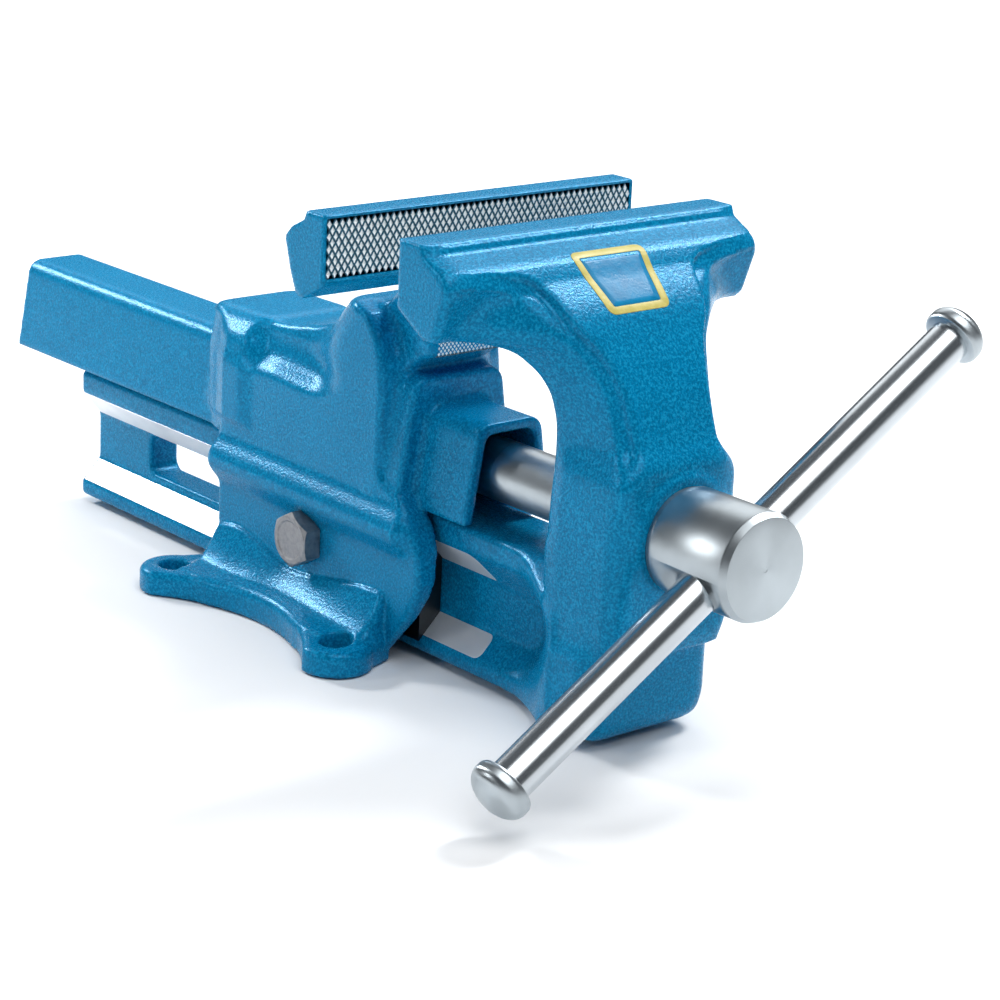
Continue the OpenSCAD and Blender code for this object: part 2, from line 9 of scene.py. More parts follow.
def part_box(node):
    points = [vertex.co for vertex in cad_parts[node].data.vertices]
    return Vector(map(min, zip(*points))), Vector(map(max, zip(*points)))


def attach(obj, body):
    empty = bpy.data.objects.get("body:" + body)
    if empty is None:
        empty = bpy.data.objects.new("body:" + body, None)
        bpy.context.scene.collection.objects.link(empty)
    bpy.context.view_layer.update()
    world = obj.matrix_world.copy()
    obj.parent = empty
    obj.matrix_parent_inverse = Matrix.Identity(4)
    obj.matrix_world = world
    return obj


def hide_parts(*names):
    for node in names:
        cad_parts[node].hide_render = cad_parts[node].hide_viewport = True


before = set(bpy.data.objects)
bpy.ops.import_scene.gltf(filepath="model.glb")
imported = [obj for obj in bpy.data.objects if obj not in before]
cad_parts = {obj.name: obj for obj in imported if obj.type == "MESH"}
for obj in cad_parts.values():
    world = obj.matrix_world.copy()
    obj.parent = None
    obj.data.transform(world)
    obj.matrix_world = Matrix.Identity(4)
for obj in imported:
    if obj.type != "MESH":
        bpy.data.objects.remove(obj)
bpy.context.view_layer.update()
MM = 0.001
scene = bpy.context.scene


# ---------------------------------------------------------------- fixed forging
# The half that is bolted down: rear jaw, neck, shoulders, spindle tunnel, side
# walls and foot, drop-forged from one piece of steel, then sprayed with a glossy
# blue enamel that keeps the grain of the forging skin.

def corners_of(node):
    """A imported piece's two corners, in millimetres."""
    low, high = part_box(node)
    return np.array(low) / MM, np.array(high) / MM


def weld(a, b, fillet):
    """Two shapes joined, with a round fillet where they meet."""
    return np.maximum(fillet, np.minimum(a, b)) - np.hypot(
        np.maximum(fillet - a, 0), np.maximum(fillet - b, 0))


def trim(a, b, edge):
    """What two shapes share, with the edge between them rounded."""
    return np.minimum(-edge, np.maximum(a, b)) + np.hypot(
        np.maximum(a + edge, 0), np.maximum(b + edge, 0))


def cut(a, b, edge):
    """The first shape less the second, with a rounded rim."""
    return trim(a, -b, edge)


def between(v, low, high):
    return np.maximum(low - v, v - high)


def flow(v, stations, values):
    """A fair curve through values given at rising stations."""
    s, f = np.array(stations, float), np.array(values, float)
    slope = np.gradient(f, s)
    v = np.clip(v, s[0], s[-1])
    i = np.clip(np.searchsorted(s, v, side="right") - 1, 0, len(s) - 2)
    h = (s[1:] - s[:-1])[i]
    t = (v - s[i]) / h
    return ((1 + 2 * t) * (1 - t) ** 2 * f[i] + t * (1 - t) ** 2 * h * slope[i]
            + t * t * (3 - 2 * t) * f[i + 1] + t * t * (t - 1) * h * slope[i + 1])


def inset(corners, by):
    """An outline's corners, each moved inwards."""
    p = np.array(corners, float)
    q = np.roll(p, -1, 0)
    if (p[:, 0] * q[:, 1] - q[:, 0] * p[:, 1]).sum() < 0:
        p = p[::-1]
        q = np.roll(p, -1, 0)
    d = (q - p) / np.linalg.norm(q - p, axis=1)[:, None]
    n = np.stack([-d[:, 1], d[:, 0]], 1)
    m = np.roll(n, 1, 0)
    return p + by * (n + m) / (1 + (n * m).sum(1))[:, None]


def outline(u, v, corners, rounding):
    """Distance to an outline, less than 0 inside it, with its corners rounded."""
    p = inset(corners, rounding)
    near, inside = None, np.zeros(np.broadcast(u, v).shape, bool)
    for a, b in zip(p, np.roll(p, -1, 0)):
        e = b - a
        t = np.clip(((u - a[0]) * e[0] + (v - a[1]) * e[1]) / (e @ e), 0, 1)
        d = np.hypot(u - a[0] - t * e[0], v - a[1] - t * e[1])
        near = d if near is None else np.minimum(near, d)
        if abs(e[1]) > 1e-9:
            inside ^= ((a[1] <= v) != (b[1] <= v)) & (u < a[0] + (v - a[1]) * e[0] / e[1])
    return np.where(inside, -near, near) - rounding


def rule(*marks):
    """Grid stations from start, step, next start, step, ... to the end."""
    parts = [np.arange(a, b - step / 2, step)
             for a, step, b in zip(marks[0:-2:2], marks[1:-1:2], marks[2::2])]
    return np.concatenate(parts + [[marks[-1]]])


def skin(name, shape, xs, ys, zs):
    """The surface of a shape as a mesh of quads, one vertex in each grid cell that it passes."""
    grid = [xs[:, None, None], ys[None, :, None], zs[None, None, :]]
    full = (len(xs), len(ys), len(zs))
    field = np.broadcast_to(shape(*grid), full).astype(np.float64)
    solid = field < 0
    count = sum(solid[i:full[0] - 1 + i, j:full[1] - 1 + j, k:full[2] - 1 + k].astype(np.int8)
                for i in (0, 1) for j in (0, 1) for k in (0, 1))
    mixed = (count > 0) & (count < 8)
    cells = np.argwhere(mixed)
    number = np.full(mixed.shape, -1, np.int64)
    number[mixed] = np.arange(len(cells))
    lines = [xs, ys, zs]
    total, hits = np.zeros((len(cells), 3)), np.zeros(len(cells))
    for axis in range(3):
        for p in (0, 1):
            for q in (0, 1):
                a = cells.copy()
                a[:, (axis + 1) % 3] += p
                a[:, (axis + 2) % 3] += q
                b = a.copy()
                b[:, axis] += 1
                fa, fb = field[tuple(a.T)], field[tuple(b.T)]
                hit = (fa < 0) != (fb < 0)
                t = np.where(hit, fa / np.where(hit, fa - fb, 1), 0)
                at = np.stack([lines[c][a[:, c]] for c in range(3)], 1)
                at[:, axis] += t * (lines[axis][b[:, axis]] - lines[axis][a[:, axis]])
                total += at * hit[:, None]
                hits += hit
    place = total / hits[:, None]
    step, longest = 0.02, 0.4
    for _ in range(3):
        f = shape(*place.T)
        slope = np.stack([(shape(*(place + step * np.eye(3)[c]).T) - f) / step for c in range(3)], 1)
        move = (f / np.maximum((slope ** 2).sum(1), 0.2))[:, None] * slope
        length = np.maximum(np.linalg.norm(move, axis=1), 1e-9)
        place = place - move * np.minimum(1, longest / length)[:, None]
    quads = []
    for axis in range(3):
        other = [(axis + 1) % 3, (axis + 2) % 3]
        low = np.take(solid, range(full[axis] - 1), axis)
        high = np.take(solid, range(1, full[axis]), axis)
        for out, edges in ((0, low & ~high), (1, ~low & high)):
            e = np.argwhere(edges)
            e = e[(e[:, other[0]] > 0) & (e[:, other[1]] > 0)
                  & (e[:, other[0]] < full[other[0]] - 1) & (e[:, other[1]] < full[other[1]] - 1)]
            ring = []
            for p, q in ((0, 0), (1, 0), (1, 1), (0, 1)):
                c = e.copy()
                c[:, other[0]] -= 1 - p
                c[:, other[1]] -= 1 - q
                ring.append(number[tuple(c.T)])
            ring = np.stack(ring, 1)
            quads.append(ring[:, ::-1] if out else ring)
    quads = np.concatenate(quads)
    return mesh_piece(name, place * MM, quads)


def mesh_piece(name, places, faces, smooth=True):
    """A new piece from vertices in metres and faces."""
    mesh = bpy.data.meshes.new(name)
    mesh.from_pydata([tuple(p) for p in places], [], [tuple(int(i) for i in f) for f in faces])
    mesh.polygons.foreach_set("use_smooth", [smooth] * len(mesh.polygons))
    mesh.validate()
    piece = bpy.data.objects.new(name, mesh)
    scene.collection.objects.link(piece)
    return piece


body_low, body_high = corners_of("fixed_body")
jaw_top = body_high[2]
tunnel_front, tunnel_rear = body_low[1], body_high[1]
jaw_half = body_high[0]
rear_grip = tunnel_front + 16.2     # the tunnel's nose reaches 16.2 under the jaws
tooth_depth = 0.8
axis_z = 64.8                       # the screw's axis above the bench
wall_half = 24.0                    # the side walls' outer faces
tunnel_top = 80.9


def tunnel_half(z):
    """Half the tunnel's width: it narrows upwards with the die's draft."""
    return 14.7 + (axis_z - z) * 0.162


def fixed_forging(x, y, z):
    side = np.abs(x)
    g, t = rear_grip, jaw_top
    jaw = trim(outline(y, z, [(g + 0.02, t), (g + 9.5, t), (g + 10.7, t - 2.9), (g + 16.4, t - 5.8),
                              (g + 19.2, t - 8.7), (g + 19.6, t - 9.9), (g + 16.8, t - 19.2),
                              (g + 14.1, t - 25.2), (g + 11.1, t - 26.6), (g + 1.5, t - 21.2),
                              (g + 0.02, t - 19.6)], 0.9), side - jaw_half, 1.0)
    # neck under the jaw, with the pipe jaw's V in its front
    neck = trim(outline(y, z, [(-58.0, 124), (-44, 127), (-43.5, 119), (-36, 112), (-27, 108),
                               (-13, 100), (2, 95), (20, 92.2), (42, 90.8), (55, 90), (55, 70),
                               (-40, 70), (-40, 88), (-50, 95.5), (-56.2, 98), (-56.2, 102),
                               (-44.5, 111), (-49.5, 118)], 0.8),
                side - flow(z, [80, 92, 104, 118, 126], [17.5, 16, 15.6, 17.5, 20]), 2.2)
    shape = weld(jaw, neck, 5.0)
    # flanks: a ridge, a scoop above it, an upright fin in front and a heel behind
    rear = flow(y, [38, 44, 52, 56], [0, 2.2, 7.0, 9.0])
    wall_top = flow(y, [-42, -18, -3, 12, 28, 40, 50], [79, 79.2, 79.4, 80.2, 81, 83, 83])
    fin_rear = flow(z, [74, 82, 88, 94, 100, 106, 110], [-19, -14.5, -10.5, -9, -12, -16.5, -20])
    profile = weld((y - fin_rear) * 0.62, z - wall_top, 7.5)
    turn = flow(z, [76, 80, 85, 92], [4.5, 6.0, 7.5, 8.5]) + flow(y, [14, 30], [0, 2.5])
    upper = trim(profile, (side - wall_half + rear) / 1.15, turn)
    face = outline(y, z, [(-42.5, 48), (-42.9, 86), (-41.8, 95.5), (-39.2, 102.4), (-34.6, 107.8),
                          (-28, 110.3), (55.5, 110.3), (55.5, 48)], 1.0)
    upper = np.maximum(trim(upper, face, 1.8), 50 - z)
    crown = trim(trim(side - 16, z - 90.8, 1.6), between(y, -42, 55.5), 1.5)
    crown = np.maximum(crown, 60 - z)
    flank = weld(upper, crown, 9.0)
    heel = trim(side - wall_half + rear, (side - 18.5) * 0.72 + (z - 90.8) * 0.69, 2.0)
    heel = trim(heel, between(y, 26.0, 55.5), 5.0)
    heel = np.maximum(trim(heel, z - 90.8, 1.5), 60 - z)
    shape = weld(shape, weld(flank, heel, 5.0), 3.0)
    # collar round the tunnel's root
    collar = trim(side - tunnel_half(z) - 6.6, z - 91.5 - (y + 40) * 0.12, 5.0)
    collar = np.maximum(trim(collar, between(y, -51.5, -35), 1.4), 50 - z)
    shape = weld(shape, collar, 2.0)
    # tunnel
    tube_side = (side - tunnel_half(z)) / 1.013
    ends = np.maximum(50 - z, between(y, tunnel_front, tunnel_rear))
    tunnel = trim(trim(tube_side, z - tunnel_top, 4.5), ends, 0.8)
    shape = weld(shape, tunnel, 2.5)
    # side walls that wrap the rail, with one rib along each
    wall = trim(outline(y, z, [(42, -2), (42, 62), (-42.5, 62), (-44.5, 57), (-52, 54.5),
                               (-60.5, 44), (-63.2, 38), (-64.3, 29), (-62.5, 23), (-58.7, 16),
                               (-50, 5), (-44, -2)], 1.8),
                side - wall_half, 2.0)
    rib = trim(np.hypot(side - wall_half + 0.3, (z - 43.5) * 0.9) - 4.8,
               between(y, -58.0, 43.5), 3.5)
    wall = weld(wall, rib, 4.0)
    shape = np.minimum(shape, wall)
    # foot: lugs, waist and the flare down to them
    hx, hy = 39.0, 43.9
    lug = np.hypot(side - hx, np.abs(y) - hy) - 11.5
    plan = np.minimum(lug, trim(side - (hx + 11.2), np.abs(y) - hy + 5, 1))
    bridge = outline(np.abs(y), side, [(-5, 0), (hy + 4, 0), (hy + 3.5, wall_half - 4), (hy + 11.45, hx),
                                       (hy - 3, hx + 6), (-5, hx + 6)], 1.0)
    plan = np.minimum(plan, bridge)
    waist = 65 - np.hypot(side - 35.3 - 65, y)
    plan = np.maximum(plan, waist)
    plate = trim(trim(plan, z - 8.0, 2.2), -z, 0.6)
    crease = flow(y, [-57, -43, -33, -21, -9, 3.5, 14.6, 21, 29, 41],
                  [21, 22, 21, 19, 17, 16.8, 20, 21.5, 22.7, 21])
    reach = 15.5
    drop = np.clip((side - wall_half - 1.1) / (reach - 1.1), 0, 1)
    flare = (z - (crease - (crease - 7.6) * (1 - (1 - drop) ** 2.1))) * 0.62
    flare = trim(flare, plan + 0.2, 1.6)
    flare = trim(flare, between(y, -50.0, 41.0), 3.0)
    flare = np.maximum(np.maximum(flare, side - wall_half - reach), -z)
    foot = weld(plate, flare, 3.0)
    shape = weld(shape, foot, 0.7)
    # machined: guide way, tunnel bore, nut pocket, bolt holes
    way = trim(between(x, -14.6, 14.6), z - 49.2, 0.4)
    prism = outline(x, z, [(14.7, 40.6), (6.3, 32.05), (6.3, 14.25), (14.7, 5.9)], 0.3)
    way = np.maximum(way, -prism)
    shape = cut(shape, way, 0.5)
    bore = trim((side - tunnel_half(z) + 3.3) / 1.013, z - tunnel_top + 3.3, 3.0)
    shape = cut(shape, bore, 0.5)
    pocket = np.maximum(np.maximum(side - 14.5, between(y, -24.1, 16.1)), between(z, 48, 82.1))
    shape = cut(shape, pocket, 0.3)
    hole = np.maximum(np.hypot(side - hx, np.abs(y) - hy) - 5.25, z - 30)
    shape = cut(shape, hole, 0.5)
    # recess for the teeth of the grip face
    grip_cut = np.maximum(np.maximum(y - g - tooth_depth, side - jaw_half + 0.7),
                          between(z, t - 19.4, t - 0.9))
    return np.maximum(cut(shape, grip_cut, 0.15), np.maximum(z - t, -z))


grain = 1.0
fixed = skin("fixed_forging", fixed_forging,
             rule(-61.4, grain, 61.4),
             rule(-77.6, grain, 58, 3.6, 172, grain, 179.6),
             rule(-1.2, grain, 147.6))


def new_material(name):
    material = bpy.data.materials.new(name)
    material.use_nodes = True
    nodes, links = material.node_tree.nodes, material.node_tree.links
    nodes.clear()
    out = nodes.new("ShaderNodeOutputMaterial")
    shader = nodes.new("ShaderNodeBsdfPrincipled")
    links.new(shader.outputs[0], out.inputs[0])
    return material, nodes, links, shader


def place_on(nodes, links, stretch):
    """Places on the piece itself, in metres, stretched along its axes."""
    where = nodes.new("ShaderNodeTexCoord")
    scale = nodes.new("ShaderNodeMapping")
    scale.inputs["Scale"].default_value = stretch
    links.new(where.outputs["Object"], scale.inputs["Vector"])
    return scale.outputs["Vector"]


def noise(nodes, links, where, scale, detail=2.0, roughness=0.5):
    node = nodes.new("ShaderNodeTexNoise")
    node.inputs["Scale"].default_value = scale
    node.inputs["Detail"].default_value = detail
    node.inputs["Roughness"].default_value = roughness
    links.new(where, node.inputs["Vector"])
    return node.outputs["Fac"]


def ramp(nodes, links, value, stops):
    node = nodes.new("ShaderNodeValToRGB")
    while len(node.color_ramp.elements) < len(stops):
        node.color_ramp.elements.new(0.5)
    for element, (at, colour) in zip(node.color_ramp.elements, stops):
        element.position = at
        element.color = (*colour, 1) if len(colour) == 3 else colour
    links.new(value, node.inputs[0])
    return node.outputs[0]


def bump(nodes, links, shader, height, strength, distance, under=None):
    node = nodes.new("ShaderNodeBump")
    node.inputs["Strength"].default_value = strength
    node.inputs["Distance"].default_value = distance
    links.new(height, node.inputs["Height"])
    if under:
        links.new(under, node.inputs["Normal"])
    links.new(node.outputs[0], shader.inputs["Normal"])
    return node.outputs[0]


def grey(v):
    return (v, v, v)


def enamel(name):
    """Glossy blue paint: two close blues and a fine orange peel, with painted glints on the peel's peaks
    and painted shade in its dips.
    """
    material, nodes, links, shader = new_material(name)
    where = place_on(nodes, links, (1, 1, 1))
    broad = noise(nodes, links, where, 45, 3)
    fine = noise(nodes, links, where, 2100)
    peel = noise(nodes, links, where, 1250)
    base = ramp(nodes, links, broad, [(0.3, (0.0, 0.180, 0.380)), (0.7, (0.0, 0.212, 0.440))])
    # light and dark specks on the orange peel's bumps: painted glints on the peaks, painted shade in the
    # dips
    peel_glint_and_shade = ramp(nodes, links, peel, [(0.36, (0.0, 0.105, 0.210)), (0.50, (0.0, 0.195, 0.405)),
                                      (0.64, (0.012, 0.370, 0.640))])
    mix = nodes.new("ShaderNodeMix")
    mix.data_type = "RGBA"
    mix.inputs["Factor"].default_value = 0.5
    links.new(base, mix.inputs["A"])
    links.new(peel_glint_and_shade, mix.inputs["B"])
    links.new(mix.outputs["Result"], shader.inputs["Base Color"])
    links.new(ramp(nodes, links, fine, [(0.35, grey(0.20)), (0.7, grey(0.32))]),
              shader.inputs["Roughness"])
    shader.inputs["Metallic"].default_value = 0.08
    shader.inputs["Specular IOR Level"].default_value = 0.13
    shader.inputs["Specular Tint"].default_value = (0.72, 0.92, 1.0, 1)
    first = bump(nodes, links, shader, peel, 0.5, 0.00022)
    bump(nodes, links, shader, fine, 0.4, 0.00008, first)
    return material


blue_enamel = enamel("blue_enamel")
fixed.data.materials.append(blue_enamel)
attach(fixed, "fixed")
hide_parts("fixed_body")


# ---------------------------------------------------------------- moving forging
# The front half: jaw, swan neck, boss for the screw, lower block and the
# I-shaped guide rail, again one drop forging under the same enamel.
rail_low, rail_high = corners_of("moving_jaw")
front_grip = rail_low[1] + 60.3
rail_half = 13.15


def moving_forging(x, y, z):
    side = np.abs(x)
    g, t = front_grip, jaw_top
    jaw_edge = 0.8 + 1.4 * np.clip((g - y - 11) / 5, 0, 1) * np.clip((t - z - 3) / 4, 0, 1)
    jaw = trim(outline(y, z, [(g - 0.02, t), (g - 10.9, t), (g - 12.1, t - 3), (g - 19.8, t - 6.8),
                              (g - 21.6, t - 8.2), (g - 22.7, t - 10.4), (g - 22.8, t - 12.6),
                              (g - 18.5, t - 24.9), (g - 16.3, t - 27),
                              (g - 12.7, t - 26.8), (g - 1.6, t - 20.2), (g - 0.02, t - 18.3)], 0.9),
               side - jaw_half, jaw_edge)
    heights = [40, 53, 70, 85, 97, 105, 111, 116, 119.5, 123, 130]
    rear_half = flow(z, heights, [21.5, 22.8, 22.6, 21.6, 22.6, 25.6, 30.5, 38, 50, 58, 59])
    rear_y = flow(z, heights, [-118.2, -118.2, -118.2, -118.2, -118, -117, -115, -112, -108, -104,
                               -100])
    front_levels = [60, 80, 88, 97, 107, 117.5, 127.2, 134.2, 138, 139.5, 141.4, 143.3]
    front_y = flow(z, front_levels, [-150, -150, -149.2, -146, -142, -136, -128.5, -120.3, -115.4,
                                     -113.0, -108.7, -104.4])
    face_half = flow(z, [50, 60, 72, 81, 92, 98, 108, 118, 122, 128, 133, 135.5, 137.5, 138.8, 139.6],
                     [19.5, 19, 17.8, 16, 15.8, 16, 17, 20.5, 23.4, 26.8, 29, 31.5, 38, 50, 61])
    rim_half = flow(z, [50, 60, 72, 81, 96, 108, 118, 122, 128, 131, 133, 134.6, 135.6],
                    [22.6, 22.4, 21.2, 19.6, 19.2, 20.4, 24.4, 27.4, 32, 35.5, 40.5, 50, 61])

    steepness = flow(z, [60, 90, 107, 118, 128, 141], [0, 0.25, 0.5, 0.75, 1.05, 1.1])

    def column(front, half, back, back_half, edge):
        """The neck between a front and a back plane, its sides drafted from one to the other."""
        share = np.clip((y - front) / (back - front), -0.5, 1.3)
        width = half + (back_half - half) * share
        lean = np.hypot(1, (back_half - half) / (back - front))
        flank = (side - width) / lean
        steep = np.sqrt(1 + steepness ** 2)
        return trim(trim(flank, (front - y) / steep, edge), (y - back) / 1.05, 3.5)

    recess = flow(z, [60, 96, 108, 118, 130, 136, 139, 141], [4.0, 3.8, 3.4, 3.6, 4.0, 4.0, 1.4, 0.4])
    outer = column(front_y + recess, rim_half, rear_y, rear_half, 1.8)
    ridge = column(front_y, face_half, rear_y - 8, face_half + 1, 1.7)
    neck = weld(outer, ridge, 1.6)
    neck = trim(np.maximum(np.maximum(neck, 30 - z), z - t + 2.5), side - jaw_half + 2.0, 5.0)
    shape = weld(jaw, neck, 4.0)
    # boss for the screw
    boss = trim(trim(side - 22.6, between(z, 31, 88.5), 9.0), between(y, -151.2, -122), 4.5)
    shape = weld(shape, boss, 4.0)
    pad = trim(np.hypot(x, z - axis_z) - 18.8, between(y, rail_low[1], -140), 1.4)
    shape = weld(shape, pad, 1.6)
    # lower block, and the neck's foot above it
    block = trim(trim(side - 25.0, between(z, 2.0, 34), 10.5), between(y, -143.2, -120), 7.0)
    shape = weld(shape, block, 6.0)
    foot = trim(trim(side - 21.8, between(z, 4, 60), 3.0), between(y, -141, -118.2), 2.5)
    shape = weld(shape, foot, 3.0)
    # guide rail, flared where it runs into the block
    end = rail_high[1]
    rail = trim(between(z, 2.0, 48.5), side - rail_half, 2.3)
    rail = trim(rail, between(y, -128, end), 0.9)
    wide = flow(y, [-126, -120, -114, -108, -102, -97, -93], [24.6, 23.0, 20.0, 17.2, 14.9, 13.5, 13.1])
    flare = trim(trim((side - wide) / 1.12, between(z, 2.0, 48.5), 2.0), between(y, -126, -92), 0.5)
    flare = trim(flare, (side - 13.0) * 0.65 + (z - 47.9) * 0.76, 1.2)
    shape = weld(shape, weld(rail, flare, 0.6), 2.0)
    # pockets beside the web: drafted walls, closed in front by a round end
    lean = 1.108 + 0.102 * np.clip((z - 23.35) / 8, -1, 1)
    draft = np.hypot(np.minimum(y + 94.5, 0), z - 23.35) - 8.45 - (side - 5.8) * lean
    pocket = trim(draft / 1.5, 5.8 - side, 0.8)
    shape = cut(shape, pocket, 0.9)
    window = outline(y, z, [(-20, 17.5), (108.5, 17.5), (108.5, 31.8), (-20, 31.8)], 4.0)
    shape = cut(shape, np.maximum(window, side - 12), 0.8)
    # machined: bore for the bush, and the grip's recess
    bore = np.maximum(np.hypot(x, z - axis_z) - 13.0, y + 117)
    shape = cut(shape, bore, 0.5)
    grip_cut = np.maximum(np.maximum(g - tooth_depth - y, side - jaw_half + 0.7),
                          between(z, t - 18.1, t - 0.9))
    return np.maximum(cut(shape, grip_cut, 0.15), z - t)


moving = skin("moving_forging", moving_forging,
              rule(-61.4, grain, 61.4),
              rule(-154.6, grain, -78, 3.2, -22, grain, -14, 3.6, 102, grain, 143.0),
              rule(0.8, grain, 147.6))
moving.data.materials.append(blue_enamel)
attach(moving, "slider")
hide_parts("moving_jaw")


# ---------------------------------------------------------------- grip teeth
# Cross-cut diamond teeth milled straight into both hardened grip faces, and a
# fine patch of them on the fixed neck for round bar. Paint stays in the cuts,
# darkened with painted shade towards their bottoms.
def teeth(name, face_y, out, width, low, high, pitch_x, pitch_z, depth):
    """A flat of staggered diamonds, its tips in the plane of the grip face."""
    columns = int(round(width / (pitch_x / 2)))
    rows = int(round((high - low) / (pitch_z / 2)))
    xs = np.linspace(-width / 2, width / 2, columns + 1)
    zs = np.linspace(low, high, rows + 1)
    places, faces = [], []
    for j, z in enumerate(zs):
        for i, x in enumerate(xs):
            rim = i in (0, columns) or j in (0, rows)
            tip = (i + j) % 2 == 0 and not rim
            places.append((x, face_y - out * (0 if tip else depth), z))
    for j in range(rows):
        for i in range(columns):
            a = j * (columns + 1) + i
            b, c, d = a + 1, a + columns + 2, a + columns + 1
            if (i + j) % 2 == 0:
                faces += [(a, b, d), (b, c, d)]
            else:
                faces += [(a, b, c), (a, c, d)]
    back = len(places)
    loop = ([i for i in range(columns)] + [j * (columns + 1) + columns for j in range(rows)]
            + [rows * (columns + 1) + i for i in range(columns, 0, -1)]
            + [j * (columns + 1) for j in range(rows, 0, -1)])
    places += [(places[i][0], face_y - out * (depth + 0.6), places[i][2]) for i in loop]
    n = len(loop)
    faces += [(loop[k], back + k, back + (k + 1) % n, loop[(k + 1) % n]) for k in range(n)]
    faces.append(tuple(range(back, back + n))[::-1])
    if out > 0:
        faces = [f[::-1] for f in faces]
    return mesh_piece(name, np.array(places) * MM, faces, smooth=False)


def tooth_finish(name, face_y, out, depth):
    """Bare, bright tips that fade into paint, with painted shade darkening it to near black at the bottom
    of the cuts.
    """
    material, nodes, links, shader = new_material(name)
    where = place_on(nodes, links, (1, 1, 1))
    split = nodes.new("ShaderNodeSeparateXYZ")
    links.new(where, split.inputs[0])
    height = nodes.new("ShaderNodeMapRange")
    height.inputs["From Min"].default_value = (face_y - out * depth) * MM
    height.inputs["From Max"].default_value = face_y * MM
    links.new(split.outputs["Y"], height.inputs["Value"])
    rough = noise(nodes, links, where, 900)
    wear_and_shade = nodes.new("ShaderNodeMath")
    wear_and_shade.operation = "MULTIPLY_ADD"
    wear_and_shade.inputs[1].default_value = 0.35
    links.new(rough, wear_and_shade.inputs[0])
    links.new(height.outputs[0], wear_and_shade.inputs[2])
    bare = ramp(nodes, links, wear_and_shade.outputs[0], [(0.44, grey(0)), (0.60, grey(0.7))])
    # near black at the bottom of the cuts: painted shade; the bright top is bare worn steel
    colour = ramp(nodes, links, wear_and_shade.outputs[0], [(0.22, (0.0, 0.05, 0.08)), (0.44, (0.002, 0.14, 0.24)),
                                                  (0.58, (0.90, 0.95, 0.96))])
    links.new(colour, shader.inputs["Base Color"])
    links.new(bare, shader.inputs["Metallic"])
    shader.inputs["Roughness"].default_value = 0.38
    bump(nodes, links, shader, rough, 0.3, 0.0001)
    return material


tooth_wide, tooth_tall = 2.35, 3.6
grip_wide = 2 * jaw_half - 1.6
rear_teeth = teeth("rear_grip_teeth", rear_grip, -1, grip_wide, jaw_top - 19.2, jaw_top - 1.0,
                   tooth_wide, tooth_tall, tooth_depth)
rear_teeth.data.materials.append(tooth_finish("rear_tooth_steel", rear_grip, -1, tooth_depth))
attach(rear_teeth, "fixed")

front_teeth = teeth("front_grip_teeth", front_grip, 1, grip_wide, jaw_top - 17.9, jaw_top - 1.0,
                    tooth_wide, tooth_tall, tooth_depth)
front_teeth.data.materials.append(tooth_finish("front_tooth_steel", front_grip, 1, tooth_depth))
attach(front_teeth, "slider")

pipe_face, pipe_depth = -56.5, 0.5
pipe_teeth = teeth("pipe_grip_teeth", pipe_face, -1, 27.0, 97.6, 103.0, 1.5, 1.8, pipe_depth)
pipe_teeth.data.materials.append(tooth_finish("pipe_tooth_steel", pipe_face, -1, pipe_depth))
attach(pipe_teeth, "fixed")


# ---------------------------------------------------------------- slide faces
# Four sloping faces of the rail's flanges, ground bright along their length;
# the cutter's round run-out shows at their front ends.
def rounded(corners, radii, steps=8):
    """An outline's corners turned into arcs."""
    p = [Vector(c) for c in corners]
    points = []
    for k, (at, r) in enumerate(zip(p, radii)):
        u, v = (p[k - 1] - at).normalized(), (p[(k + 1) % len(p)] - at).normalized()
        half = math.acos(max(-1, min(1, u.dot(v)))) / 2
        reach = r / math.tan(half)
        if r <= 0:
            points.append(at)
            continue
        for i in range(steps + 1):
            t = i / steps
            a, b = at + u * reach, at + v * reach
            points.append(a * (1 - t) ** 2 + at * 2 * t * (1 - t) + b * t ** 2)
    return points


def ground_strip(name, inner, outer, ends, radii, hand):
    """A ground face, from its inner to its outer edge in (X, Z), a hair proud of the paint."""
    a, b = Vector((inner[0], inner[1])), Vector((outer[0], outer[1]))
    width = (b - a).length
    along = (b - a) / width
    out = Vector((-along.y, along.x)) if b.y < a.y else Vector((along.y, -along.x))
    if out.x < 0:
        out = -out
    shape = rounded([(0.25, ends[0]), (width - 0.5, ends[1]), (width - 0.5, rail_high[1] - 1.0),
                     (0.25, rail_high[1] - 1.0)], radii)
    places, faces, n = [], [], len(shape)
    for lift, pull in ((-0.3, 0), (0.05, 0), (0.09, 0.12)):
        centre = Vector((width / 2, (ends[0] + rail_high[1]) / 2))
        for s in shape:
            u = s.x + math.copysign(pull, centre.x - s.x)
            y = s.y + math.copysign(pull, centre.y - s.y)
            spot = a + along * u + out * lift
            places.append((hand * spot.x, y, spot.y))
    for ring in (0, 1):
        for k in range(n):
            m = (k + 1) % n
            faces.append((ring * n + k, ring * n + m, (ring + 1) * n + m, (ring + 1) * n + k))
    faces += [tuple(range(n))[::-1], tuple(range(2 * n, 3 * n))]
    if hand < 0:
        faces = [f[::-1] for f in faces]
    piece = mesh_piece(name, np.array(places) * MM, faces, smooth=False)
    tidy = bmesh.new()
    tidy.from_mesh(piece.data)
    bmesh.ops.recalc_face_normals(tidy, faces=tidy.faces)
    tidy.to_mesh(piece.data)
    tidy.free()
    return piece


def ground_steel(name):
    """Bright ground steel, its marks along the rail."""
    material, nodes, links, shader = new_material(name)
    grind_marks = noise(nodes, links, place_on(nodes, links, (2600, 14, 2600)), 1.0, 3, 0.6)
    cloud = noise(nodes, links, place_on(nodes, links, (1, 1, 1)), 70, 3)
    links.new(ramp(nodes, links, cloud, [(0.3, (0.74, 0.78, 0.82)), (0.7, (0.86, 0.89, 0.92))]),
              shader.inputs["Base Color"])
    links.new(ramp(nodes, links, grind_marks, [(0.3, grey(0.34)), (0.7, grey(0.48))]),
              shader.inputs["Roughness"])
    shader.inputs["Metallic"].default_value = 0.55
    bump(nodes, links, shader, grind_marks, 0.35, 0.00005)
    return material


